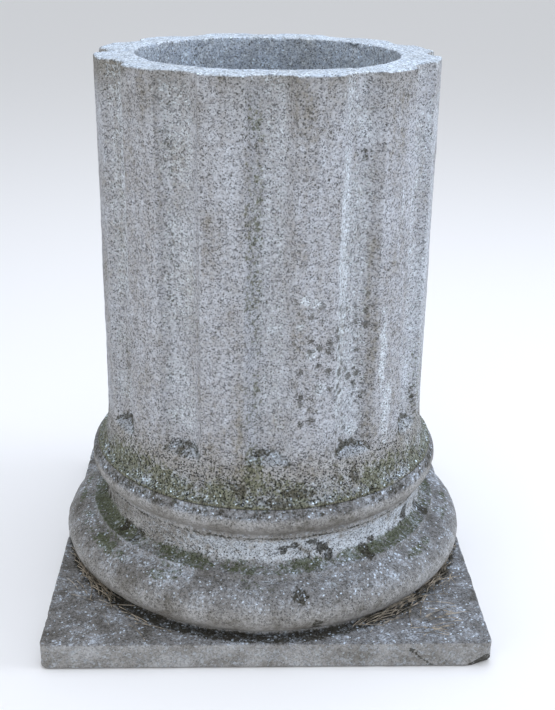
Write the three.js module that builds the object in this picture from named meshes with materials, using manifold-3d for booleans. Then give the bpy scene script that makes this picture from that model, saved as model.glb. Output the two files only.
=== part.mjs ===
// A fluted column stub of cast stone: a hollow drum, open at the top, standing on a moulded base
// that is cast in one with its square plinth. Millimetres, +Z up, the origin at the centre of the
// underside, the plinth's front face towards -Y.

import * as THREE from "three";
import { mergeVertices } from "three/addons/utils/BufferGeometryUtils.js";
import Module from "manifold-3d";

// Driving dimensions of the drum
const SHAFT_RADIUS = 250; // to the flat ridges between the flutes
const SHAFT_LENGTH = 600; // from its bed to the rim
const WALL_THICKNESS = 62; // at the ridges
const RIM_WEAR = 5; // width of the worn edge round the rim, outside and inside
const FOOT_HEIGHT = 66; // from the bed up to where the flare dies into the ridges
const FOOT_FLARE = 18; // how far the lip of the foot stands out from the ridges
const LIP_HEIGHT = 5; // upright edge under the flare

// Driving dimensions of the flutes
const FLUTE_COUNT = 12;
const FLUTE_WIDTH = 65; // across the opening, from arris to arris
const FLUTE_DEPTH = 17.5; // below the ridges
const FLUTE_FOOT = 78; // from the bed up to the back of the scooped foot
const FLUTE_FOOT_SLOPE = 45; // degrees that the scooped foot falls outwards

// Driving dimensions of the base, from the bed down to the ground
const UPPER_TORUS_REACH = 10; // past the edge of the bed
const UPPER_TORUS_WIDTH = 37.5; // half-width of its section
const UPPER_TORUS_HEIGHT = 29.5; // half-height of its section
const UPPER_FILLET_SETBACK = 8; // inside the edge of the bed
const UPPER_FILLET_HEIGHT = 7.5;
const SCOTIA_HEIGHT = 46;
const SCOTIA_DEPTH = 18; // below the straight line between its two edges
const SCOTIA_LEAN = 0.5; // brings its deepest line down to a quarter of its height
const LOWER_FILLET_REACH = 11; // past the edge of the bed
const LOWER_FILLET_HEIGHT = 8;
const LOWER_TORUS_REACH = 56; // past the edge of the bed
const LOWER_TORUS_WIDTH = 62; // half-width of its section
const LOWER_TORUS_HEIGHT = 43; // half-height of its section
const LOWER_TORUS_UNDERCUT = 26; // from its widest line in to where it meets the plinth

// Driving dimensions of the plinth
const PLINTH_MARGIN = 2; // from the widest line of the lower torus to the plinth's side
const PLINTH_THICKNESS = 42; // what stands clear of the ground
const PLINTH_CORNER = 14; // rounding of the upright corners
const PLINTH_ARRIS = 4; // rounding of the long edges

// The broken lower corner at the front right
const CHIP_LENGTH = 40; // along the front face
const CHIP_DEPTH = 18; // along the side face
const CHIP_HEIGHT = 28; // up the corner

// Clearance and fineness
const BED_JOINT = 0.3; // between the drum and its base
const EMBED = 12; // how far the round mouldings run down into the plinth
const OVERCUT = 10; // how far a cut runs past what it cuts
const DRUM_STEPS = 96;
const BASE_STEPS = 72;
const FLUTE_STEPS = 44; // round the whole circle of which a flute is a part
const BEAD_STEPS = 9; // along the section of a torus
const HOLLOW_STEPS = 7; // along the section of a scotia or a flare
const CORNER_STEPS = 4;

// Sizes that follow from them
const BORE_RADIUS = SHAFT_RADIUS - WALL_THICKNESS;
const BED_RADIUS = SHAFT_RADIUS + FOOT_FLARE;
const PLINTH_HALF = BED_RADIUS + LOWER_TORUS_REACH + PLINTH_MARGIN;

const wasm = await Module();
wasm.setup();

// A closed geometry as a solid that can be joined and cut
function solidOf(geometry) {
  const bare = geometry.clone();
  bare.deleteAttribute("normal");
  bare.deleteAttribute("uv");
  const merged = mergeVertices(bare, 1e-4);
  return new wasm.Manifold(
    new wasm.Mesh({
      numProp: 3,
      vertProperties: merged.attributes.position.array,
      triVerts: new Uint32Array(merged.index.array),
    }),
  );
}

// A solid as one named mesh
function meshOf(solid, name, material) {
  const { vertProperties, triVerts } = solid.getMesh();
  const geometry = new THREE.BufferGeometry();
  geometry.setAttribute("position", new THREE.BufferAttribute(vertProperties, 3));
  geometry.setIndex(new THREE.BufferAttribute(triVerts, 1));
  geometry.computeVertexNormals();
  const mesh = new THREE.Mesh(geometry, material);
  mesh.name = name;
  return mesh;
}

// A profile of radius and height, turned about the upright axis
function turned(profile, steps) {
  const points = profile.map(([radius, height]) => new THREE.Vector2(radius, height));
  return new THREE.LatheGeometry(points, steps).rotateX(Math.PI / 2);
}

// The section of a torus: an ellipse that bulges outwards, from the radius where it starts at the
// bottom to the radius where it ends at the top. Heights are from its lower end.
function beadProfile(outerRadius, halfWidth, halfHeight, bottomRadius, topRadius) {
  const centre = outerRadius - halfWidth;
  const angleAt = (radius) => Math.acos((radius - centre) / halfWidth);
  const start = -angleAt(bottomRadius);
  const end = angleAt(topRadius);
  const points = [];
  for (let i = 0; i <= BEAD_STEPS; i++) {
    const angle = start + ((end - start) * i) / BEAD_STEPS;
    const radius = centre + halfWidth * Math.cos(angle);
    const height = halfHeight * (Math.sin(angle) - Math.sin(start));
    points.push([radius, height]);
  }
  return points;
}

// The section of the scotia: a hollow between its wide lower edge and its narrow upper edge
function hollowProfile(lowerRadius, upperRadius) {
  const points = [];
  for (let i = 0; i <= HOLLOW_STEPS; i++) {
    const share = i / HOLLOW_STEPS;
    const straight = lowerRadius + (upperRadius - lowerRadius) * share;
    const sag = SCOTIA_DEPTH * Math.sin(Math.PI * share ** SCOTIA_LEAN);
    points.push([straight - sag, SCOTIA_HEIGHT * share]);
  }
  return points;
}

// The flare at the foot of the drum: a quarter of an ellipse, level at the lip, upright above
function flareProfile() {
  const points = [];
  for (let i = 0; i <= HOLLOW_STEPS; i++) {
    const angle = ((Math.PI / 2) * i) / HOLLOW_STEPS;
    const radius = SHAFT_RADIUS + FOOT_FLARE * (1 - Math.sin(angle));
    const height = FOOT_HEIGHT - (FOOT_HEIGHT - LIP_HEIGHT) * Math.cos(angle);
    points.push([radius, height]);
  }
  return points;
}

// One flute as the tool that would scoop it out: a round bar that stands against the drum, its
// lower end cut on a slope
function fluteCutter(index) {
  const halfWidth = FLUTE_WIDTH / 2;
  const floorRadius = SHAFT_RADIUS - FLUTE_DEPTH;
  const sagitta = Math.sqrt(SHAFT_RADIUS ** 2 - halfWidth ** 2) - floorRadius;
  const barRadius = (sagitta ** 2 + halfWidth ** 2) / (2 * sagitta);
  const length = SHAFT_LENGTH - FLUTE_FOOT + OVERCUT;
  const bar = new THREE.CylinderGeometry(barRadius, barRadius, length, FLUTE_STEPS);
  bar.rotateX(Math.PI / 2).translate(floorRadius + barRadius, 0, FLUTE_FOOT + length / 2);

  const fall = Math.tan(THREE.MathUtils.degToRad(FLUTE_FOOT_SLOPE));
  const at = bar.attributes.position;
  for (let i = 0; i < at.count; i++) {
    const low = at.getZ(i) < FLUTE_FOOT + length / 2;
    if (low) at.setZ(i, at.getZ(i) - (at.getX(i) - floorRadius) * fall);
  }
  const turn = (2 * Math.PI * index) / FLUTE_COUNT - Math.PI / 2;
  return bar.rotateZ(turn);
}

// The hollow drum, its bed at height 0
function drumSolid() {
  const outer = [
    [BED_RADIUS, 0],
    ...flareProfile(),
    [SHAFT_RADIUS, SHAFT_LENGTH - RIM_WEAR],
    [SHAFT_RADIUS - RIM_WEAR, SHAFT_LENGTH],
  ];
  const inner = [
    [BORE_RADIUS + RIM_WEAR, SHAFT_LENGTH],
    [BORE_RADIUS, SHAFT_LENGTH - RIM_WEAR],
    [BORE_RADIUS, 0],
  ];
  const profile = [...outer, ...inner, outer[0]];
  let drum = solidOf(turned(profile, DRUM_STEPS));
  for (let i = 0; i < FLUTE_COUNT; i++) drum = drum.subtract(solidOf(fluteCutter(i)));
  return drum;
}

// The profile of the base above the plinth, from its embedded end up to the middle of its bed
function baseProfile() {
  const lowerTorus = BED_RADIUS + LOWER_TORUS_REACH;
  const lowerFoot = lowerTorus - LOWER_TORUS_UNDERCUT;
  const lowerFillet = BED_RADIUS + LOWER_FILLET_REACH;
  const upperFillet = BED_RADIUS - UPPER_FILLET_SETBACK;
  const upperTorus = BED_RADIUS + UPPER_TORUS_REACH;
  const points = [
    [0, -EMBED],
    [lowerFoot, -EMBED],
  ];
  let level = 0;
  const stack = (moulding) => {
    const start = level;
    for (const [radius, height] of moulding) points.push([radius, start + height]);
    level = points.at(-1)[1];
  };
  stack(beadProfile(lowerTorus, LOWER_TORUS_WIDTH, LOWER_TORUS_HEIGHT, lowerFoot, lowerFillet));
  level += LOWER_FILLET_HEIGHT;
  stack(hollowProfile(lowerFillet, upperFillet));
  level += UPPER_FILLET_HEIGHT;
  stack(beadProfile(upperTorus, UPPER_TORUS_WIDTH, UPPER_TORUS_HEIGHT, upperFillet, BED_RADIUS));
  points.push([0, level]);
  return points;
}

// The square plinth with its rounded corners, its underside at height 0
function plinthGeometry() {
  const half = PLINTH_HALF - PLINTH_ARRIS;
  const corner = PLINTH_CORNER - PLINTH_ARRIS;
  const straight = half - corner;
  const outline = new THREE.Shape();
  for (let side = 0; side < 4; side++) {
    const start = (side * Math.PI) / 2;
    const centre = new THREE.Vector2(straight, straight).rotateAround(new THREE.Vector2(), start);
    outline.absarc(centre.x, centre.y, corner, start, start + Math.PI / 2);
  }
  return new THREE.ExtrudeGeometry(outline, {
    depth: PLINTH_THICKNESS - 2 * PLINTH_ARRIS,
    bevelThickness: PLINTH_ARRIS,
    bevelSize: PLINTH_ARRIS,
    bevelSegments: 2,
    curveSegments: CORNER_STEPS,
  }).translate(0, 0, PLINTH_ARRIS);
}

// What has broken off the lower front right corner: a three-sided wedge whose slanted face meets
// the corner's edges at the chip's three sizes, grown outwards by the overcut
function cornerChip() {
  const outer = PLINTH_HALF + OVERCUT;
  const growth = 1 + OVERCUT * (1 / CHIP_LENGTH + 1 / CHIP_DEPTH + 1 / CHIP_HEIGHT);
  const wedge = new THREE.BufferGeometry().setFromPoints([
    new THREE.Vector3(outer, -outer, -OVERCUT),
    new THREE.Vector3(outer - CHIP_LENGTH * growth, -outer, -OVERCUT),
    new THREE.Vector3(outer, CHIP_DEPTH * growth - outer, -OVERCUT),
    new THREE.Vector3(outer, -outer, CHIP_HEIGHT * growth - OVERCUT),
  ]);
  wedge.setIndex([0, 1, 2, 0, 3, 1, 0, 2, 3, 1, 3, 2]);
  return wedge;
}

// The base: round mouldings and plinth in one casting
const profile = baseProfile();
const bedHeight = PLINTH_THICKNESS + profile.at(-1)[1];
const mouldings = turned(profile, BASE_STEPS).translate(0, 0, PLINTH_THICKNESS);
const baseSolid = solidOf(mouldings)
  .add(solidOf(plinthGeometry()))
  .subtract(solidOf(cornerChip()));

// Cast stone with its sand laid bare by the weather: paler on the drum, darker on the damp base
const agedStone = new THREE.MeshStandardMaterial({
  color: 0x8f8f92,
  roughness: 0.95,
  metalness: 0,
});
const dampStone = new THREE.MeshStandardMaterial({
  color: 0x7c7c7e,
  roughness: 0.95,
  metalness: 0,
});

const base = meshOf(baseSolid, "moulded_base", dampStone);
const drum = meshOf(drumSolid(), "fluted_shaft", agedStone);
drum.position.z = bedHeight + BED_JOINT;

const column = new THREE.Group();
column.add(base, drum);

export default column;
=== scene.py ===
"""A hollow fluted column stub of weathered cast stone on its moulded base.

The drum and the base are each one closed skin over the solid of the frame: the same profiles,
worn, pitted and chipped a few millimetres inwards, and coloured by what has grown on them and by
painted sky light and painted shade.
Pine needles lie on the plinth. Metres, +Z up, the front of the plinth towards -Y.
"""

import itertools
import math
from types import SimpleNamespace

import bpy
import numpy as np
from mathutils import Matrix, Vector


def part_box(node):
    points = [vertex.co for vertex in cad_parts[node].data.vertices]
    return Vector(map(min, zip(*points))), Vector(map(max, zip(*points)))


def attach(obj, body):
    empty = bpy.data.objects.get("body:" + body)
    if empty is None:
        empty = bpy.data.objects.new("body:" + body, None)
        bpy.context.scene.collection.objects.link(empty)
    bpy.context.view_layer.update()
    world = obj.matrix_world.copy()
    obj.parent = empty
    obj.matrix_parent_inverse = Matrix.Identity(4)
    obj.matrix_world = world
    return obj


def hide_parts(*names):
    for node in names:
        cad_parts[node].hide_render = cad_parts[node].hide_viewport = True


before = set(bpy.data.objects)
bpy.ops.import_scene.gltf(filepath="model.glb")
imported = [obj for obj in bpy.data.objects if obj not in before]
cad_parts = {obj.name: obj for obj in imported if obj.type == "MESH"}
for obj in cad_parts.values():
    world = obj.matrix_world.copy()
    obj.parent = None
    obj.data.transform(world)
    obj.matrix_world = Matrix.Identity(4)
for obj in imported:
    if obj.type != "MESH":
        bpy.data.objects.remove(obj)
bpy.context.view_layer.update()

MM = 0.001

# Sizes read from the frame
_, base_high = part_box("moulded_base")
drum_low, drum_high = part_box("fluted_shaft")
PLINTH_HALF = base_high.x
BED_HEIGHT = base_high.z
DRUM_FOOT = drum_low.z
RIM_HEIGHT = drum_high.z
BED_RADIUS = drum_high.x

# The drum
FOOT_FLARE = 18 * MM
SHAFT_RADIUS = BED_RADIUS - FOOT_FLARE
WALL_THICKNESS = 62 * MM
BORE_RADIUS = SHAFT_RADIUS - WALL_THICKNESS
RIM_WEAR = 5 * MM
FOOT_HEIGHT = 66 * MM
LIP_HEIGHT = 5 * MM
LIP_WEAR = 1.0 * MM
FLUTE_COUNT = 12
FLUTE_WIDTH = 65 * MM
FLUTE_DEPTH = 17.5 * MM
FLUTE_FOOT = 78 * MM
FLUTE_FOOT_SLOPE = math.radians(45)
ARRIS_WEAR = 3.5 * MM

# The mouldings of the base, from the plinth up
LOWER_TORUS_REACH = 56 * MM
LOWER_TORUS_HALF = (62 * MM, 43 * MM)
LOWER_TORUS_UNDERCUT = 26 * MM
LOWER_FILLET_REACH = 11 * MM
LOWER_FILLET_HEIGHT = 8 * MM
SCOTIA_HEIGHT = 46 * MM
SCOTIA_DEPTH = 18 * MM
SCOTIA_LEAN = 0.5
UPPER_FILLET_SETBACK = 8 * MM
UPPER_FILLET_HEIGHT = 7.5 * MM
UPPER_TORUS_REACH = 10 * MM
UPPER_TORUS_HALF = (37.5 * MM, 29.5 * MM)
JOINT_WEAR = 0.3 * MM

# The plinth and its broken corner
PLINTH_THICKNESS = 42 * MM
PLINTH_CORNER = 14 * MM
PLINTH_ARRIS = 4 * MM
CHIP_LENGTH = 40 * MM
CHIP_DEPTH = 18 * MM
CHIP_HEIGHT = 28 * MM

# Where the parts of the base lie: heights, and the radius of the crevice under the lower torus
TORUS_TOP = PLINTH_THICKNESS + 76 * MM
SCOTIA_LOW = TORUS_TOP + LOWER_FILLET_HEIGHT
SCOTIA_HIGH = SCOTIA_LOW + SCOTIA_HEIGHT
CREVICE_RADIUS = BED_RADIUS + LOWER_TORUS_REACH - LOWER_TORUS_UNDERCUT

# Wear: lumps of several sizes, then pits. Each is a size and a depth in mm, and a seed.
DRUM_WEAR = ((130, 0.81, 1), (42, 0.55, 2), (15, 0.42, 3), (7, 0.34, 4))
DRUM_PITS = (11, 2.2, 6)
BASE_WEAR = ((120, 0.8, 11), (40, 0.55, 12), (16, 0.42, 13), (8, 0.38, 14))
BASE_PITS = (12, 2.0, 16)
RIM_CHIPS = 60
ARRIS_CHIPS = 110
PLINTH_CHIPS = 26
FILLET_CHIPS = 50
HIDDEN_PATCHES = 26

# Fineness of the two skins
DRUM_COLUMNS = 432
ARRIS_GATHER = 0.35
BASE_COLUMNS = 600
CORNER_GATHER = 0.35
RELIEF_STEP = 3.0 * MM


def ease(share):
    """A share from 0 to 1, held there and softened at both ends."""
    share = np.clip(share, 0, 1)
    return share * share * (3 - 2 * share)


def above(value, low, soft):
    """1 above low, 0 below it, with an edge that is soft wide."""
    return ease((value - low) / soft + 0.5)


def below(value, high, soft):
    """1 below high, 0 above it, with an edge that is soft wide."""
    return ease((high - value) / soft + 0.5)


def band(value, low, high, soft):
    """1 between low and high, 0 outside, with edges that are soft wide."""
    return above(value, low, soft) * below(value, high, soft)


def most(*shares):
    """The greatest of several shares at each point."""
    return np.maximum.reduce(shares)


def soft_min(first, second, width):
    """The lesser of two heights, with the edge where they meet worn round."""
    share = np.clip(0.5 + 0.5 * (second - first) / width, 0, 1)
    return second + (first - second) * share - width * share * (1 - share)


def lumps(points, size, seed):
    """Smooth noise from about -1 to 1 at each point, with lumps about one size across."""
    draw = np.random.default_rng(seed)
    slopes = draw.normal(size=(256, 3))
    slopes /= np.linalg.norm(slopes, axis=1)[:, None]
    order = draw.permutation(256)
    scaled = points / size
    cell = np.floor(scaled).astype(int)
    part = scaled - cell
    weight = part ** 3 * (part * (part * 6 - 15) + 10)
    total = np.zeros(points.shape[:-1])
    swing = 1.6
    for corner in itertools.product((0, 1), repeat=3):
        step = np.array(corner)
        at = (cell + step) & 255
        entry = order[(order[(order[at[..., 0]] + at[..., 1]) & 255] + at[..., 2]) & 255]
        share = np.prod(np.where(step, weight, 1 - weight), axis=-1)
        total += share * np.sum(slopes[entry] * (part - step), axis=-1)
    return total * swing


def azimuth(points):
    """Degrees round the axis from the front, -Y, towards +X."""
    return np.degrees(np.arctan2(points[..., 0], -points[..., 1]))


def turned_apart(angle, other):
    """The difference of two azimuths in degrees, from -180 to 180."""
    return (angle - other + 180) % 360 - 180


def normals_of(rows, closed):
    """The outward direction at every point of a grid of rings."""
    across = np.roll(rows, -1, axis=1) - np.roll(rows, 1, axis=1)
    if closed:
        along = np.roll(rows, -1, axis=0) - np.roll(rows, 1, axis=0)
    else:
        along = np.gradient(rows, axis=0)
    out = np.cross(across, along)
    return out / np.maximum(np.linalg.norm(out, axis=-1, keepdims=True), 1e-12)


def round_axis(turn, radius, height):
    """Points at angles from +X round the axis."""
    return np.stack(np.broadcast_arrays(radius * np.cos(turn), radius * np.sin(turn), height), -1)


def scattered(draw, count, place_one, sizes, depths):
    """Chips at places drawn one by one, their sizes and depths in mm drawn from two ranges."""
    chips = []
    for _ in range(count):
        chips.append((place_one(draw), draw.uniform(*sizes) * MM, draw.uniform(*depths) * MM))
    return chips


def bites(points, chips):
    """How deep small broken places go at each point: one hollow for each chip."""
    total = np.zeros(points.shape[:-1])
    for centre, size, depth in chips:
        away = np.linalg.norm(points - centre, axis=-1) / size
        total = np.maximum(total, depth * ease(1.35 - away))
    return total


def worn_away(points, layers, pits):
    """How deep the weather has gone at each point: every layer of lumps, and the pits."""
    total = np.zeros(points.shape[:-1])
    for size, depth, seed in layers:
        total += depth * MM * (1 + lumps(points, size * MM, seed))
    size, depth, seed = pits
    rare, edge = 0.62, 0.3
    return total + depth * MM * ease((lumps(points, size * MM, seed) - rare) / edge)


def skin(name, rows, fields, closed):
    """One closed mesh from a grid of rings, with a colour field at every point.

    Closed joins the last ring to the first. Otherwise a point closes each end.
    """
    count, columns = rows.shape[:2]
    points = rows.reshape(-1, 3)
    here = np.arange(count * columns).reshape(count, columns)
    beside = np.roll(here, -1, axis=1)
    last = count if closed else count - 1
    upper = np.roll(here, -1, axis=0)[:last]
    upper_beside = np.roll(beside, -1, axis=0)[:last]
    faces = np.stack([here[:last], beside[:last], upper_beside, upper], -1).reshape(-1, 4).tolist()
    if not closed:
        low, high = len(points), len(points) + 1
        ends = [rows[0].mean(axis=0), rows[-1].mean(axis=0)]
        points = np.vstack([points, ends])
        for j in range(columns):
            faces.append([low, int(beside[0, j]), int(here[0, j])])
            faces.append([int(here[-1, j]), int(beside[-1, j]), high])
    mesh = bpy.data.meshes.new(name)
    mesh.from_pydata(points.tolist(), [], faces)
    mesh.polygons.foreach_set("use_smooth", np.ones(len(faces), bool))
    for field, values in fields.items():
        column = values.ravel()
        if not closed:
            column = np.concatenate([column, [values[0].mean(), values[-1].mean()]])
        layer = mesh.attributes.new(field, "FLOAT", "POINT")
        layer.data.foreach_set("value", column.astype(np.float32))
    mesh.update()
    piece = bpy.data.objects.new(name, mesh)
    bpy.context.scene.collection.objects.link(piece)
    return piece


# The drum

def drum_radius(height):
    """Radius of the drum before its flutes are cut, at a height above its bed."""
    rise = np.clip((FOOT_HEIGHT - height) / (FOOT_HEIGHT - LIP_HEIGHT), 0, 1)
    flare = FOOT_FLARE * (1 - np.sqrt(1 - rise ** 2))
    under = np.clip((LIP_WEAR - height) / LIP_WEAR, 0, 1)
    return SHAFT_RADIUS + flare - LIP_WEAR * (1 - np.sqrt(1 - under ** 2))


def flute_cuts(turn, height):
    """Radii of a flute's hollow and of its scooped foot.

    They are given at an angle from +X and a height above the drum's bed.
    """
    floor = SHAFT_RADIUS - FLUTE_DEPTH
    half = FLUTE_WIDTH / 2
    sagitta = math.sqrt(SHAFT_RADIUS ** 2 - half ** 2) - floor
    bar = (sagitta ** 2 + half ** 2) / (2 * sagitta)
    pitch = 2 * math.pi / FLUTE_COUNT
    off = (turn + pitch / 2) % pitch - pitch / 2
    centre = floor + bar
    reach = bar ** 2 - (centre * np.sin(off)) ** 2
    inside = reach > 0
    near = centre * np.cos(off) - np.sqrt(np.where(inside, reach, 0))
    hollow = np.where(inside, near, 2 * SHAFT_RADIUS)
    scoop = (floor + (FLUTE_FOOT - height) / math.tan(FLUTE_FOOT_SLOPE)) / np.cos(off)
    return hollow, scoop


def fluted_radius(turn, height):
    """Radius of the drum with its flutes, at an angle from +X and a height above its bed."""
    hollow, scoop = flute_cuts(turn, height)
    cut = -soft_min(-hollow, -scoop, ARRIS_WEAR)
    return soft_min(drum_radius(height), cut, ARRIS_WEAR)


def drum_section():
    """The drum's rings, up its outer wall, over the rim and down its bore, and its length.

    A ring is a height above the bed, a share of the way across the rim or, on the rim's two
    worn edges, an angle.
    """
    length = RIM_HEIGHT - DRUM_FOOT
    fine_to = 90 * MM
    foot = np.arange(0, fine_to, 2.6 * MM)
    wall = np.linspace(fine_to, length - RIM_WEAR, 118)
    rounding = np.linspace(0, math.pi / 2, 5)[1:]
    rings = [("outer", height) for height in (*foot, *wall)]
    rings += [("outer_edge", angle) for angle in rounding]
    rings += [("rim", share) for share in np.linspace(0, 1, 11)[1:-1]]
    rings += [("inner_edge", angle) for angle in rounding[::-1]]
    depths = (length - RIM_WEAR) * np.linspace(0, 1, 34) ** 1.4
    rings += [("bore", length - RIM_WEAR - depth) for depth in depths]
    return rings, length


def drum_rows():
    """The points of the drum's skin, ring by ring, and how far each may be worn."""
    even = np.linspace(0, 2 * math.pi, DRUM_COLUMNS, endpoint=False)
    arrises = 2 * FLUTE_COUNT
    turn = even + ARRIS_GATHER / arrises * np.sin(arrises * even)
    rings, length = drum_section()
    top = fluted_radius(turn, np.full_like(turn, length))
    rows, wear = [], []
    for where, value in rings:
        if where == "outer":
            radius, height = fluted_radius(turn, np.full_like(turn, value)), value
        elif where == "outer_edge":
            radius = top - RIM_WEAR * (1 - math.cos(value))
            height = length - RIM_WEAR * (1 - math.sin(value))
        elif where == "rim":
            radius = (top - RIM_WEAR) * (1 - value) + (BORE_RADIUS + RIM_WEAR) * value
            height = length
        elif where == "inner_edge":
            radius = BORE_RADIUS + RIM_WEAR * (1 - math.cos(value))
            height = length - RIM_WEAR * (1 - math.sin(value))
        else:
            radius, height = BORE_RADIUS, value
        rows.append(round_axis(turn, radius, height))
        wear.append(min(1.0, height / (3 * MM)))
    rows = np.array(rows)
    rows[..., 2] += DRUM_FOOT
    return rows, np.array(wear)[:, None]


def on_rim(draw):
    """A place on one of the rim's two edges."""
    turn = draw.uniform(0, 2 * math.pi)
    radius = BORE_RADIUS
    if draw.random() < 0.6:
        radius = float(fluted_radius(np.array([turn]), np.array([RIM_HEIGHT]))[0])
    return round_axis(turn, radius, RIM_HEIGHT)


def on_arris(draw):
    """A place on the arris of a flute."""
    flute = draw.integers(FLUTE_COUNT)
    side = draw.choice((-1, 1))
    turn = 2 * math.pi / FLUTE_COUNT * flute + side * math.asin(FLUTE_WIDTH / 2 / SHAFT_RADIUS)
    return round_axis(turn, SHAFT_RADIUS, draw.uniform(DRUM_FOOT + FLUTE_FOOT, RIM_HEIGHT))


def streak(turn, height, middle, half_width, low, high):
    """A stain that runs down the drum round one azimuth; widths in degrees, heights in metres."""
    off = np.abs(turned_apart(turn, middle))
    return ease(1.4 - off / half_width) * band(height, low, high, 60 * MM)


def blots(points, marks, ragged):
    """Round stains with ragged edges: an azimuth in degrees, then height and half-sizes in mm."""
    turn = azimuth(points)
    radius = np.hypot(points[..., 0], points[..., 1])
    total = np.zeros(turn.shape)
    for middle, height, half_width, half_height in marks:
        side = np.radians(turned_apart(turn, middle)) * radius / (half_width * MM)
        up = (points[..., 2] - height * MM) / (half_height * MM)
        total = np.maximum(total, ease((1.25 - np.hypot(side, up) + 0.45 * ragged) / 0.5))
    return total


# Breaks that show on the drum: azimuth in degrees, then height, radius, size and depth in mm
DRUM_BREAKS = (
    (135, 818, 189, 9, 7),
    (36, 230, 268, 8, 9),
    (-22, 545, 249, 4, 2),
)
# Stains that show on it: azimuth in degrees, then height, half-width and half-height in mm
DRUM_GRIME = (
    (-30, 293, 13, 8),
    (-9, 250, 13, 8),
    (4, 233, 20, 7),
    (10, 243, 22, 7),
    (27, 302, 7, 9),
    (32, 716, 8, 10),
    (-6, 290, 9, 7),
    (7, 286, 8, 6),
    (30, 262, 10, 14),
    (66, 330, 6, 16),
    (36.2, 231, 6, 5),
)
DRUM_BLEACH = (
    (47, 645, 3, 22),
    (31, 318, 13, 10),
    (44, 345, 12, 55),
    (41, 430, 8, 60),
    (25, 590, 11, 150),
    (24, 400, 6, 70),
    (11, 528, 8, 8),
    (15, 524, 7, 9),
    (10, 494, 7, 7),
    (1, 486, 8, 7),
    (14, 452, 8, 8),
    (17, 398, 9, 10),
)
# Where spots of lichen show: how dense, then from, to and softness of the azimuth and the height
DRUM_SPOTS = (
    (0.95, (6, 38, 9), (0.29, 0.55, 0.13)),
    (0.5, (34, 62, 12), (0.3, 0.62, 0.2)),
    (0.5, (-12, 8, 6), (0.28, 0.45, 0.1)),
)


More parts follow.
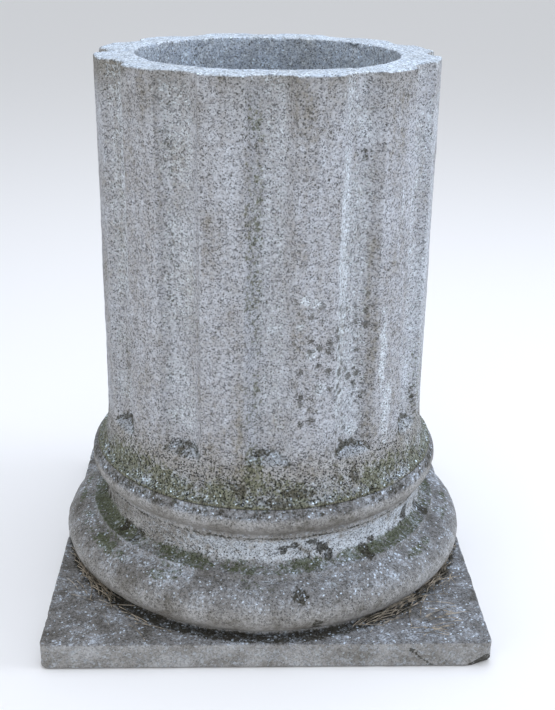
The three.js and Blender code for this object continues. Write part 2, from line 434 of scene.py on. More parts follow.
def drum_fields(points, out, draw):
    """What grows on the drum, what the rain has left, and painted sky light and shade: one share for
    each.
    """
    turn = azimuth(points)
    height = points[..., 2]
    up = out[..., 2]
    radius = np.hypot(points[..., 0], points[..., 1])
    outside = ease((radius - BORE_RADIUS - 20 * MM) / (8 * MM))
    ragged = lumps(points, 14 * MM, 21)
    clouds = lumps(points, 60 * MM, 22)
    joint = below(height, DRUM_FOOT + 3 * MM, 4 * MM)
    foot = below(height, DRUM_FOOT + 34 * MM, 30 * MM)
    ankle = below(height, DRUM_FOOT + 70 * MM, 60 * MM)
    pitch = 360 / FLUTE_COUNT
    within = (turn + pitch / 2) % pitch - pitch / 2
    upright = ease((height - DRUM_FOOT - FLUTE_FOOT) / (30 * MM))

    # Moss rings the joint, runs down the front flute and, at random, down those that don't show
    moss = 0.62 * foot * ease(0.9 + 0.8 * clouds) + 0.4 * ankle * ease(0.5 + 1.2 * clouds)
    moss += 0.35 * below(height, DRUM_FOOT + 5 * MM, 6 * MM)
    moss += 0.55 * streak(turn, height, -4.8, 3.4, 0.26, 0.81) * ease(0.8 + 0.6 * clouds)
    moss += 0.45 * streak(turn, height, 70, 7, 0.25, 0.42)
    for flute in range(FLUTE_COUNT):
        middle = pitch * flute - 5 + draw.uniform(-5, 5)
        if abs(turned_apart(middle, 0)) > 80:
            reach = draw.uniform(0.45, 0.78)
            moss += draw.uniform(0.2, 0.6) * streak(turn, height, middle, 4, 0.3, reach)

    # Dark spots stand where they show in front, and in drifts over the rest
    patch = blots(points, DRUM_GRIME, ragged)
    drifts = ease(0.25 + 1.6 * lumps(points, 170 * MM, 23)) * (np.abs(turn) > 75)
    spots = most(patch, 0.7 * drifts, *(
        share * band(turn, *across) * band(height, *rise) for share, across, rise in DRUM_SPOTS
    ))

    # Dirt fills the joint and runs down a few flutes; a dark line along the back of each scooped foot
    # is painted shade in its crease
    hollow, scoop = flute_cuts(np.arctan2(points[..., 1], points[..., 0]), height - DRUM_FOOT)
    # Painted shade: the crease where each scooped foot meets the hollow of its flute is darkened
    back = np.exp(-((hollow - scoop + 2 * MM) / (5 * MM)) ** 2) * (hollow < SHAFT_RADIUS)
    runs = [
        streak(turn, height, middle + draw.uniform(-4, 4), 2.5, 0.34, 0.78)
        for middle in (-60, 60, 90, 150, 210)
    ]
    grime_and_shade = most(
        (0.62 + 0.33 * foot) * patch,
        0.55 * foot * ease(0.6 + 1.3 * ragged),
        0.5 * joint * ease(0.6 + 1.2 * ragged),
        0.42 * streak(turn, height, -34.3, 2.0, 0.32, 0.80) * ease(0.7 + clouds),
        0.35 * most(*runs),
        0.95 * back * ease(0.9 + 0.7 * clouds),
    )

    # Rain has washed the rim, the far right, both arrises of each flute and, less, its back
    arris = ease(1.5 - np.abs(within + 8.0) / 0.55) + 0.6 * ease(1.5 - np.abs(within - 8.0) / 0.5)
    washed = band(within, -6.5, 5, 3) * (0.46 - 0.08 * (np.abs(turn) < 12))
    bleach = most(
        0.66 * blots(points, DRUM_BLEACH, ragged),
        0.45 * ease((turn - 44) / 20) * band(turn, 40, 130, 20) * ease(0.8 + clouds),
        0.75 * ease(up * 1.5) * (height > RIM_HEIGHT - 9 * MM),
        0.34 * arris * upright * ease(0.9 + 0.8 * clouds),
        washed * upright * ease(0.9 + 0.8 * clouds),
    )
    in_bore = (1 - outside) * (up < 0.3)
    bleach = bleach * np.maximum(outside, up > 0.3) + 0.46 * in_bore

    # Soot hangs under the rim and in the left third of each flute; painted shade makes it most at the
    # left, away from the light
    under_rim = np.exp(-np.clip(RIM_HEIGHT - height, 0, 1) / (30 * MM)) * ease(1 - up)
    shaded = 1.1 - 0.5 * np.sin(np.radians(turn))
    soot_and_shade = outside * most(
        shaded * under_rim * ease(0.75 + 0.7 * clouds),
        0.14 * band(within, -7, -1.5, 2.5) * upright * ease(0.75 + 0.8 * clouds),
        0.7 * ankle,
    )
    in_scoop = ease(1 - np.abs(radius - scoop) / (6 * MM)) * (hollow < SHAFT_RADIUS + 4 * MM)
    # Painted sky light: what faces up, and the shaded bore, take a cool tint as if lit by the sky;
    # lichen flecks grow on the same share
    sky = most(
        ease(up) * (1 - 0.35 * in_scoop),
        0.75 * (1 - outside),
        0.35 * foot * outside * ease((height - DRUM_FOOT) / (14 * MM)),
    )
    return {
        "moss": np.clip(moss * outside, 0, 1),
        "grime_and_shade": np.clip(grime_and_shade * outside, 0, 1),
        "spots": np.clip(spots * outside, 0, 1),
        "bleach": np.clip(bleach, 0, 1),
        "soot_and_shade": np.clip(soot_and_shade, 0, 1),
        "sky": sky,
        "sand": 0.95 + 0.8 * ankle * outside,
    }


def build_drum():
    """The drum's skin, worn inwards from the form that it was cast in."""
    draw = np.random.default_rng(5)
    rows, wear = drum_rows()
    out = normals_of(rows, True)
    chips = scattered(draw, RIM_CHIPS, on_rim, (3, 8), (0.8, 2.4))
    chips += scattered(draw, ARRIS_CHIPS, on_arris, (4, 9), (0.8, 2.0))
    breaks = [
        (round_axis(math.radians(turn - 90), radius * MM, height * MM), size * MM, deep * MM)
        for turn, height, radius, size, deep in DRUM_BREAKS
    ]
    depth = worn_away(rows, DRUM_WEAR, DRUM_PITS) + bites(rows, chips) + bites(rows, breaks)
    fields = drum_fields(rows, out, draw)
    return skin("weathered_fluted_drum", rows - out * (depth * wear)[..., None], fields, True)


# The base

def bead(outer, half, bottom, top, count):
    """The section of a torus, from its bottom radius to its top radius, heights from its foot."""
    centre = outer - half[0]
    start = -math.acos((bottom - centre) / half[0])
    end = math.acos((top - centre) / half[0])
    angle = np.linspace(start, end, count)
    return centre + half[0] * np.cos(angle), half[1] * (np.sin(angle) - math.sin(start))


def moulding_section():
    """Radius and height of the mouldings from the plinth's top to the edge of the bed."""
    lower = BED_RADIUS + LOWER_TORUS_REACH
    lower_edge = BED_RADIUS + LOWER_FILLET_REACH
    upper_edge = BED_RADIUS - UPPER_FILLET_SETBACK
    radius, height = bead(lower, LOWER_TORUS_HALF, lower - LOWER_TORUS_UNDERCUT, lower_edge, 60)
    share = np.linspace(0, 1, 30)
    straight = lower_edge + (upper_edge - lower_edge) * share
    hollow = straight - SCOTIA_DEPTH * np.sin(math.pi * share ** SCOTIA_LEAN)
    radius = np.append(radius, hollow)
    height = np.append(height, height[-1] + LOWER_FILLET_HEIGHT + SCOTIA_HEIGHT * share)
    upper = BED_RADIUS + UPPER_TORUS_REACH
    more, rise = bead(upper, UPPER_TORUS_HALF, upper_edge, BED_RADIUS, 40)
    radius = np.append(radius, more)
    height = np.append(height, height[-1] + UPPER_FILLET_HEIGHT + rise)
    return radius, height + PLINTH_THICKNESS


def evenly(radius, height, step):
    """The same section with its points a step apart."""
    run = np.append(0, np.cumsum(np.hypot(np.diff(radius), np.diff(height))))
    at = np.linspace(0, run[-1], int(run[-1] / step) + 1)
    return np.interp(at, run, radius), np.interp(at, run, height)


def plinth_outline(turn, inset):
    """Radius of the plinth's rounded square at each angle, set in from its sides."""
    half = PLINTH_HALF - inset
    corner = PLINTH_CORNER - inset
    flat = half - corner
    along = np.maximum(abs(np.cos(turn)), abs(np.sin(turn)))
    beside = np.minimum(abs(np.cos(turn)), abs(np.sin(turn)))
    side = half / along
    middle = flat * (along + beside)
    reach = middle ** 2 - 2 * flat ** 2 + corner ** 2
    rounded = middle + np.sqrt(np.maximum(reach, 0))
    return np.where(side * beside > flat, rounded, side)


def base_rows():
    """The points of the base's skin, from the middle of its underside up to the middle of its bed."""
    even = np.linspace(0, 2 * math.pi, BASE_COLUMNS, endpoint=False)
    turn = even + CORNER_GATHER / 4 * np.sin(4 * even)
    rounding = np.linspace(0, math.pi / 2, 4)
    underside = plinth_outline(turn, PLINTH_ARRIS)
    rings = [(share * underside, 0.0, 0.0) for share in (0.3, 0.6, 0.85, 1.0)]
    for angle in rounding[1:]:
        inset = PLINTH_ARRIS * (1 - math.sin(angle))
        rings.append((plinth_outline(turn, inset), PLINTH_ARRIS * (1 - math.cos(angle)), 0.6))
    for height in np.linspace(PLINTH_ARRIS, PLINTH_THICKNESS - PLINTH_ARRIS, 11)[1:-1]:
        rings.append((plinth_outline(turn, 0), height, 1.0))
    for angle in rounding:
        inset = PLINTH_ARRIS * (1 - math.cos(angle))
        height = PLINTH_THICKNESS - PLINTH_ARRIS * (1 - math.sin(angle))
        rings.append((plinth_outline(turn, inset), height, 1.0))
    radius, height = evenly(*moulding_section(), RELIEF_STEP)
    edge = plinth_outline(turn, PLINTH_ARRIS)
    for share in np.linspace(0, 1, 22)[1:-1]:
        rings.append((edge * (1 - share) + radius[0] * share, PLINTH_THICKNESS, 1.0))
    for ring, level in zip(radius, height):
        rings.append((ring, level, 1.0))
    for ring in np.arange(BED_RADIUS - 3 * MM, BED_RADIUS - 16 * MM, -3 * MM):
        rings.append((ring, BED_HEIGHT, 1.0))
    for ring in np.linspace(BED_RADIUS - 22 * MM, 10 * MM, 24):
        rings.append((ring, BED_HEIGHT, 0.6))
    rows = np.array([round_axis(turn, ring, level) for ring, level, _ in rings])
    return rows, np.array([wear for _, _, wear in rings])[:, None]


def broken_corner(rows):
    """Takes the broken front right corner off: nothing reaches past its slanted face."""
    across = np.array([1 / CHIP_LENGTH, -1 / CHIP_DEPTH, -1 / CHIP_HEIGHT])
    limit = PLINTH_HALF / CHIP_LENGTH + PLINTH_HALF / CHIP_DEPTH - 1
    past = np.maximum(rows @ across - limit, 0)
    ragged = 1 + 0.12 * lumps(rows, 12 * MM, 41) * (past > 0)
    return rows - (past / (across @ across) * ragged)[..., None] * across, past > 0


def on_plinth_edge(draw):
    """A place on the plinth's upper edge."""
    turn = draw.uniform(0, 2 * math.pi)
    return round_axis(turn, float(plinth_outline(np.array([turn]), 0)[0]), PLINTH_THICKNESS)


def on_fillet(draw):
    """A place on the edge of either fillet."""
    turn = draw.uniform(0, 2 * math.pi)
    edges = (
        (BED_RADIUS + LOWER_FILLET_REACH, SCOTIA_LOW),
        (BED_RADIUS - UPPER_FILLET_SETBACK, SCOTIA_HIGH),
    )
    return round_axis(turn, *edges[draw.integers(2)])


# Stains that show on the base, given as the drum's are
BASE_GRIME = (
    (5.5, 152, 9, 8),
    (9, 158, 8, 7),
    (11, 149, 4, 6),
    (15, 162, 12, 6),
    (18, 150, 13, 12),
    (21, 138, 8, 9),
    (14, 140, 4, 5),
    (34, 131, 10, 9),
    (38, 139, 7, 6),
    (57, 148, 12, 14),
    (69.6, 135, 12, 14),
    (36.2, 226, 5, 4),
    (9, 107, 12, 9),
    (13, 62, 8, 11),
    (-48, 134, 10, 7),
)

# The crack that runs down the plinth's front to the ground: its two ends along X and up
CRACK_ENDS = ((204 * MM, 32 * MM), (240 * MM, 0.0))
CRACK_WIDTH = 2.2 * MM


def crack(points):
    """1 on the crack in the plinth's front face, 0 away from it."""
    (x0, z0), (x1, z1) = CRACK_ENDS
    run, fall = x1 - x0, z1 - z0
    along = ((points[..., 0] - x0) * run + (points[..., 2] - z0) * fall) / (run ** 2 + fall ** 2)
    aside = ((points[..., 0] - x0) * fall - (points[..., 2] - z0) * run) / math.hypot(run, fall)
    wander = aside + 2 * MM * lumps(points, 9 * MM, 42)
    in_front = points[..., 1] < -PLINTH_HALF + 3 * MM
    return ease(1.5 - np.abs(wander) / CRACK_WIDTH) * band(along, 0, 1, 0.2) * in_front


def base_fields(points, out, broken, draw):
    """What grows on the base, what the rain has left, and painted sky light and shade: one share for
    each.
    """
    turn = azimuth(points)
    height = points[..., 2]
    up = out[..., 2]
    radius = np.hypot(points[..., 0], points[..., 1])
    ragged = lumps(points, 14 * MM, 31)
    clouds = lumps(points, 55 * MM, 32)
    moulded = ease((height - PLINTH_THICKNESS) / (2 * MM))
    under = ease(-up * 1.3 + 0.15) * moulded
    side = (1 - moulded) * ease(1 - 2 * up)
    fillet = band(height, TORUS_TOP - 1 * MM, SCOTIA_LOW + 1 * MM, 2 * MM)
    bed_edge = band(height, BED_HEIGHT - 13 * MM, BED_HEIGHT, 7 * MM)

    # Moss grows on the ledge at the scotia's foot, in the joint, on top of the lower torus, at
    # the left and thinly on the plinth
    ledge = band(height, SCOTIA_LOW - 1 * MM, SCOTIA_LOW + 12 * MM, 9 * MM)
    moss = 0.85 * ledge * ease(0.85 + 0.8 * clouds)
    moss += 0.45 * above(height, BED_HEIGHT - 5 * MM, 7 * MM) * ease(0.7 + clouds)
    crown = band(height, TORUS_TOP - 10 * MM, TORUS_TOP - 1 * MM, 8 * MM)
    moss += 0.7 * crown * ease(0.35 + 1.5 * clouds)
    moss += 0.35 * ease(1 - np.abs(turned_apart(turn, -65)) / 25) * band(height, 0.1, 0.2, 0.04)
    moss += 0.2 * (1 - moulded) * ease(up) * ease(0.1 + 1.3 * clouds)
    moss = most(moss, 0.5 * fillet * ease(0.4 + 1.4 * clouds))

    # Black patches stand where they show in front and at random behind
    patches = list(BASE_GRIME)
    for _ in range(HIDDEN_PATCHES):
        where = draw.uniform(80, 330), draw.uniform(132, 165)
        patches.append((*where, draw.uniform(6, 14), draw.uniform(5, 9)))
    patch = blots(points, patches, 0.4 * ragged + 0.9 * lumps(points, 8 * MM, 33))
    # Painted shade under the lower torus: its crevice and the plinth top beneath it are darkened
    crevice = band(radius, CREVICE_RADIUS - 13 * MM, CREVICE_RADIUS + 24 * MM, 12 * MM)
    crevice *= band(height, 0, PLINTH_THICKNESS + 9 * MM, 10 * MM)
    grime_and_shade = most(
        0.85 * patch,
        0.95 * crevice * ease(up + moulded),
        0.5 * above(height, BED_HEIGHT - 5 * MM, 5 * MM) * ease(0.7 + 1.2 * ragged),
        0.58 * bed_edge * ease(0.85 + clouds),
        0.75 * band(height, SCOTIA_HIGH - 2 * MM, SCOTIA_HIGH + 3 * MM, 4 * MM),
        # The broken corner's face is dark with dirt and moss, and with painted shade, as it faces the
        # ground
        0.95 * broken * ease(0.9 + clouds),
        0.22 * (1 - moulded) * ease(up) * ease(0.3 + clouds),
        0.9 * crack(points),
    )
    # Under its upper edge the scotia is dotted with brown
    dotted = band(height, SCOTIA_HIGH - 18 * MM, SCOTIA_HIGH - 2 * MM, 8 * MM)
    spots = most(
        patch,
        0.8 * dotted * ease(0.5 + 1.4 * clouds),
        0.35 * ease(up + 0.2) * ease(0.2 + 1.5 * clouds),
    )

    # The scotia is washed white in front, the edge over it and the plinth's sides less
    front = ease(1.5 - np.abs(turned_apart(turn, 22)) / 50)
    hollow = band(height, SCOTIA_LOW + 8 * MM, SCOTIA_HIGH - 3 * MM, 12 * MM)
    edge_line = band(height, SCOTIA_HIGH - 1 * MM, SCOTIA_HIGH + 9 * MM, 4 * MM)
    bleach = most(
        hollow * (0.25 + 0.75 * front) * ease(0.9 + 0.7 * ragged),
        0.35 * edge_line * (radius < BED_RADIUS - 6 * MM),
        0.35 * side * (1 - broken),
    )

    # Tops on the left are browner; tops on the right take more of the cool tint, which is painted sky
    # light, and more lichen flecks
    left = ease(-np.sin(np.radians(turn)) * 1.5) * ease(up)
    sky = most(
        ease(up) * (0.85 + 0.15 * np.sin(np.radians(turn))),
        0.7 * fillet,
        0.9 * bed_edge,
    )
    return {
        "moss": np.clip(moss, 0, 1),
        "grime_and_shade": np.clip(grime_and_shade, 0, 1),
        "spots": np.clip(spots, 0, 1),
        "bleach": np.clip(bleach, 0, 1),
        # Painted shade: what faces down under the mouldings is darkened; tops on the left are browner
        "soot_and_shade": np.clip(0.6 * under + 0.6 * left, 0, 1),
        "sky": sky,
        "sand": np.clip(0.75 - 0.45 * under - 0.3 * side + 0.4 * hollow, 0, 1.2),
    }


def build_base():
    """The base's skin, worn inwards in the same way, least where the drum covers it."""
    draw = np.random.default_rng(8)
    rows, wear = base_rows()
    rows, broken = broken_corner(rows)
    out = normals_of(rows, False)
    height = rows[..., 2]
    radius = np.hypot(rows[..., 0], rows[..., 1])
    chips = scattered(draw, PLINTH_CHIPS, on_plinth_edge, (3, 8), (0.8, 1.8))
    chips += scattered(draw, FILLET_CHIPS, on_fillet, (4, 8), (1, 2.2))
    depth = worn_away(rows, BASE_WEAR, BASE_PITS) + bites(rows, chips)
    # The drum has kept the rain off its bed: the joint stays nearly closed, wider here and there
    joint = band(radius, BED_RADIUS - 40 * MM, BED_RADIUS + 1 * MM, 4 * MM)
    joint *= height > BED_HEIGHT - 4 * MM
    depth *= 1 - joint * (0.85 - 0.5 * ease(lumps(rows, 45 * MM, 17)))
    depth += JOINT_WEAR * joint
    fields = base_fields(rows, out, broken, draw)
    depth *= wear * (height > 0.5 * MM)
    return skin("weathered_moulded_base", rows - out * depth[..., None], fields, False)


# Pine needles

def needle_tree(material):
    """Needles that lie along an arc round the column, each bent a little and turned its own way."""
    tree = bpy.data.node_groups.new("Drift of pine needles", "GeometryNodeTree")
    lengths = ("Radius", "Spread", "Heap", "Lie", "Needle length", "Needle radius")
    angles = ("Start", "Sweep", "Turn", "Turn spread")
    for label in lengths + angles:
        tree.interface.new_socket(label, in_out="INPUT", socket_type="NodeSocketFloat")
    for label in ("Count", "Seed"):
        tree.interface.new_socket(label, in_out="INPUT", socket_type="NodeSocketInt")
    tree.interface.new_socket("Geometry", in_out="OUTPUT", socket_type="NodeSocketGeometry")
    given = tree.nodes.new("NodeGroupInput").outputs

    # What each needle draws for itself: from, to and what is added to the seed
    turns = [
        add(tree, way, {0: given["Turn"], 1: given["Turn spread"]})
        for way in ("SUBTRACT", "ADD")
    ]
    draws = {
        "away": (0.0, given["Spread"], 0.0),
        "up": (0.0, given["Heap"], 7.0),
        "turned": (*turns, 13.0),
        "size": (0.55, 1.15, 29.0),
    }
    drawn = {}
    for what, (least, greatest, step) in draws.items():
        seed = add(tree, "ADD", {0: given["Seed"], 1: step})
        drawn[what] = add(tree, "FunctionNodeRandomValue", {
            2: least, 3: greatest, "Seed": seed,
        }, data_type="FLOAT").outputs[1]

    # The places: points along the arc, moved outwards and heaped up
    arc = add(tree, "GeometryNodeCurveArc", {
        "Radius": given["Radius"],
        "Start Angle": given["Start"],
        "Sweep Angle": given["Sweep"],
    }, mode="RADIUS")
    places = add(tree, "GeometryNodeCurveToPoints", {
        "Curve": arc, "Count": given["Count"],
    }, mode="COUNT")
    here = add(tree, "GeometryNodeInputPosition")
    outward = add(tree, "ShaderNodeVectorMath", {0: here}, operation="NORMALIZE")
    aside = add(tree, "ShaderNodeVectorMath", {
        0: outward, "Scale": drawn["away"],
    }, operation="SCALE")
    level = add(tree, "ADD", {0: drawn["up"], 1: given["Lie"]})
    lift = add(tree, "ShaderNodeCombineXYZ", {"Z": level})
    shift = add(tree, "ShaderNodeVectorMath", {0: aside, 1: lift}, operation="ADD")
    laid = add(tree, "GeometryNodeSetPosition", {
        "Geometry": places.outputs["Points"], "Offset": shift,
    })

    # One needle: half its length each way along X, bowed aside by a ninth of it
    corners = []
    for axis, share in (("X", -0.5), ("Y", 0.11), ("X", 0.5)):
        part = add(tree, "MULTIPLY", {0: given["Needle length"], 1: share})
        corners.append(add(tree, "ShaderNodeCombineXYZ", {axis: part}))
    line = add(tree, "GeometryNodeCurveQuadraticBezier", {
        "Resolution": 5, "Start": corners[0], "Middle": corners[1], "End": corners[2],
    })
    ring = add(tree, "GeometryNodeCurvePrimitiveCircle", {
        "Resolution": 4, "Radius": given["Needle radius"],
    })
    needle = add(tree, "GeometryNodeCurveToMesh", {
        "Curve": line,
        "Profile Curve": ring.outputs["Curve"],
        "Fill Caps": True,
    })

    tangent = add(tree, "ShaderNodeSeparateXYZ", {0: places.outputs["Tangent"]})
    heading = add(tree, "ARCTAN2", {0: tangent.outputs["Y"], 1: tangent.outputs["X"]})
    facing = add(tree, "ADD", {0: heading, 1: drawn["turned"]})
    attitude = add(tree, "ShaderNodeCombineXYZ", {"Z": facing})
    copies = add(tree, "GeometryNodeInstanceOnPoints", {
        "Points": laid,
        "Instance": needle,
        "Rotation": attitude,
        "Scale": drawn["size"],
    })
    real = add(tree, "GeometryNodeRealizeInstances", {"Geometry": copies})
    finished = add(tree, "GeometryNodeSetMaterial", {"Geometry": real, "Material": material})
    add(tree, "NodeGroupOutput", {"Geometry": finished})
    return tree


def drift(name, tree, sizes):
    """One drift of needles as a plain mesh."""
    maker = bpy.data.objects.new(name, bpy.data.meshes.new(name))
    bpy.context.scene.collection.objects.link(maker)
    modifier = maker.modifiers.new("Needles", "NODES")
    modifier.node_group = tree
    for item in tree.interface.items_tree:
        if item.in_out == "INPUT":
            modifier[item.identifier] = sizes[item.name]
    bpy.context.view_layer.update()
    evaluated = maker.evaluated_get(bpy.context.evaluated_depsgraph_get())
    plain = bpy.data.meshes.new_from_object(evaluated)
    maker.modifiers.remove(modifier)
    maker.data = plain
    plain.name = name
    return maker


# Finishes

# How large the patterns of the stone are. Its sand is 1 to 3 mm: it is drawn at 1.8 and 3.4 mm,
# the finest that shows at this distance.
SAND = 1.8 * MM
GRIT = 3.4 * MM
PORES_APART = 3.6 * MM
CLUMP = 7 * MM
CLOUD = 45 * MM
RUN = 24 * MM
RUN_LENGTHS = 12
FILM = 6 * MM
SPOTS_APART = 13 * MM
DOTS_APART = 5.2 * MM
GRAIN_CONTRAST = 1.25
GRIT_SHARE = 0.2

# Sockets of a mix of two colours: the share of the second, the first and the second
MIX_SHARE, MIX_UNDER, MIX_OVER = 0, 6, 7


def linear(code):
    """An sRGB hex colour as linear red, green, blue and alpha."""
    parts = [int(code[i:i + 2], 16) / 255 for i in (0, 2, 4)]
    return [p / 12.92 if p <= 0.04045 else ((p + 0.055) / 1.055) ** 2.4 for p in parts] + [1.0]


def add(tree, kind, inputs=None, **settings):
    """Adds one node. A kind in capitals is the operation of a Math node.

    An input is a plain value, a socket to link from, or a node, which stands for its first output.
    """
    if kind.isupper():
        kind, settings["operation"] = "ShaderNodeMath", kind
    made = tree.nodes.new(kind)
    for name, value in settings.items():
        setattr(made, name, value)
    for name, value in (inputs or {}).items():
        if isinstance(value, bpy.types.Node):
            value = value.outputs[0]
        if isinstance(value, bpy.types.NodeSocket):
            tree.links.new(value, made.inputs[name])
        else:
            made.inputs[name].default_value = value
    return made


def stone_patterns(tree, where):
    """The noises and the cells that the stone is drawn from.

    Each noise gives its outputs. Cells give the distance to the middle of the cell and the three
    numbers that every cell draws for itself; those of spots and dots have frayed edges.
    """
    drawn_out = add(tree, "ShaderNodeMapping", {"Vector": where, "Scale": (1.0, 1.0, 1 / RUN_LENGTHS)})
    noises = {}
    for name, vector, size, detail, roughness in (
        ("clump", where, CLUMP, 3.0, 0.65),
        ("cloud", where, CLOUD, 4.0, 0.6),
        ("run", drawn_out, RUN, 3.0, 0.6),
        ("film", where, FILM, 4.0, 0.72),
    ):
        noises[name] = add(tree, "ShaderNodeTexNoise", {
            "Vector": vector, "Scale": 1 / size, "Detail": detail, "Roughness": roughness,
        }).outputs
    cells = {}
    for name, size, fray in (
        ("sand", SAND, 0),
        ("grit", GRIT, 0),
        ("pore", PORES_APART, 0),
        ("spot", SPOTS_APART, 11 * MM),
        ("dot", DOTS_APART, 5 * MM),
    ):
        vector = where
        if fray:
            vector = add(tree, "ShaderNodeVectorMath", {
                0: noises["film"]["Color"], 1: (fray,) * 3, 2: where,
            }, operation="MULTIPLY_ADD")
        cell = add(tree, "ShaderNodeTexVoronoi", {"Vector": vector, "Scale": 1 / size})
        drawn = add(tree, "ShaderNodeSeparateColor", {0: cell.outputs["Color"]})
        cells[name] = SimpleNamespace(distance=cell.outputs["Distance"], drawn=drawn.outputs)
    return noises, cells


def bare_mix(tree, noises, tones, runs):
    """The colour of the clean mix: damp and dry clouds, clumps held by the binder, and runs."""
    level = add(tree, "MULTIPLY", {0: noises["clump"]["Fac"], 1: 0.36})
    for name, weight in (("cloud", 0.64 - runs), ("run", runs)):
        level = add(tree, "MULTIPLY_ADD", {0: noises[name]["Fac"], 1: weight, 2: level})
    ramp = add(tree, "ShaderNodeValToRGB", {"Fac": level})
    stops = ramp.color_ramp.elements
    stops[0].position, stops[1].position = 0.38, 0.64
    for position in (0.46, 0.54):
        stops.new(position)
    for stop, code in zip(stops, tones):
        stop.color = linear(code)
    return ramp.outputs["Color"]


def settled(tree, colour, share, noises, cells, growth):
    """Growths settle grain by grain: each takes a grain where its share is above the grain's own."""
    tuft = add(tree, "MULTIPLY_ADD", {0: noises["clump"]["Fac"], 1: 1.5, 2: -0.25})
    grit = cells["grit"].drawn
    for field, channel, soft, weight in (
        ("bleach", 0, 0.30, 0.8),
        ("moss", 1, 0.16, 0.8),
        ("grime_and_shade", 2, 0.14, 0.86),
    ):
        grain = add(tree, "MULTIPLY_ADD", {0: grit[channel], 1: 0.45, 2: tuft})
        over = add(tree, "SUBTRACT", {0: share[field], 1: grain})
        taken = add(tree, "ShaderNodeMapRange", {
            "Value": over, "From Min": -soft - 0.1, "From Max": soft - 0.1, "To Max": weight,
        })
        # None where the share is nought
        held = add(tree, "MULTIPLY", {0: share[field], 1: 5.0}, use_clamp=True)
        factor = add(tree, "MULTIPLY", {0: taken, 1: held})
        colour = add(tree, "ShaderNodeMix", {
            MIX_SHARE: factor, MIX_UNDER: colour, MIX_OVER: linear(growth[field]),
        }, data_type="RGBA").outputs[2]
    return colour


def dark_spots(tree, share, cells):
    """Dark lichen spots, 4 to 11 mm across with ragged edges, as many as their share says."""
    spots = cells["spot"]
    size = add(tree, "MULTIPLY", {0: spots.drawn[0], 1: share["spots"]})
    reach = add(tree, "MULTIPLY_ADD", {0: size, 1: 0.62, 2: -0.08})
    grainy = add(tree, "MULTIPLY_ADD", {0: cells["sand"].drawn[1], 1: 0.36, 2: reach})
    inside = add(tree, "SUBTRACT", {0: grainy, 1: spots.distance})
    spot = add(tree, "ShaderNodeMapRange", {
        "Value": inside, "From Min": 0.08, "From Max": 0.26, "To Max": 0.78,
    })
    return add(tree, "MULTIPLY", {0: spot, 1: share["spots"]})


def crust_lichen(tree, share, noises, cells):
    """Pale crust lichen on what faces the sky.

    Ragged films 4 to 12 mm across lie in groups, with thicker dots 2 to 5 mm across on them.
    """
    dots = cells["dot"]
    grouped = add(tree, "MULTIPLY_ADD", {
        0: noises["cloud"]["Fac"], 1: 0.6, 2: noises["film"]["Fac"],
    })
    crust = add(tree, "ShaderNodeMapRange", {
        "Value": grouped, "From Min": 0.82, "From Max": 1.0, "To Max": 0.45,
    })
    rich = add(tree, "MULTIPLY_ADD", {0: dots.drawn[0], 1: 0.55, 2: grouped})
    inside = add(tree, "SUBTRACT", {0: rich, 1: dots.distance})
    dot = add(tree, "ShaderNodeMapRange", {
        "Value": inside, "From Min": 0.95, "From Max": 1.07, "To Max": 0.92,
    })
    both = add(tree, "MAXIMUM", {0: dot, 1: crust})
    return add(tree, "MULTIPLY", {0: both, 1: share["sky"]})


def sand_tone(tree, share, cells):
    """How light each grain is: a few are much darker, most where the cement is washed off."""
    mixed = add(tree, "MULTIPLY_ADD", {
        0: cells["grit"].drawn[0], 1: GRIT_SHARE, 2: cells["sand"].drawn[0],
    })
    dull = add(tree, "MULTIPLY_ADD", {0: mixed, 1: -1 / (1 + GRIT_SHARE), 2: 1.0})
    dark = add(tree, "POWER", {0: dull, 1: 2.0})
    apart = add(tree, "MULTIPLY_ADD", {0: dark, 1: -GRAIN_CONTRAST, 2: GRAIN_CONTRAST / 3})
    bare = add(tree, "MULTIPLY_ADD", {0: apart, 1: share["sand"], 2: 1.0})
    return add(tree, "MAXIMUM", {0: bare, 1: 0.08})


def open_pores(tree, share, cells):
    """Pores between the grains and pin holes from air in the mix, 1 to 2 mm, dark with old dirt."""
    pores = cells["pore"]
    size = add(tree, "MULTIPLY_ADD", {0: pores.drawn[0], 1: 0.7, 2: -0.34})
    inside = add(tree, "SUBTRACT", {0: size, 1: pores.distance})
    pore = add(tree, "ShaderNodeMapRange", {
        "Value": inside, "From Min": -0.06, "From Max": 0.04, "To Max": 0.85,
    })
    return add(tree, "MULTIPLY", {0: pore, 1: share["sand"]})


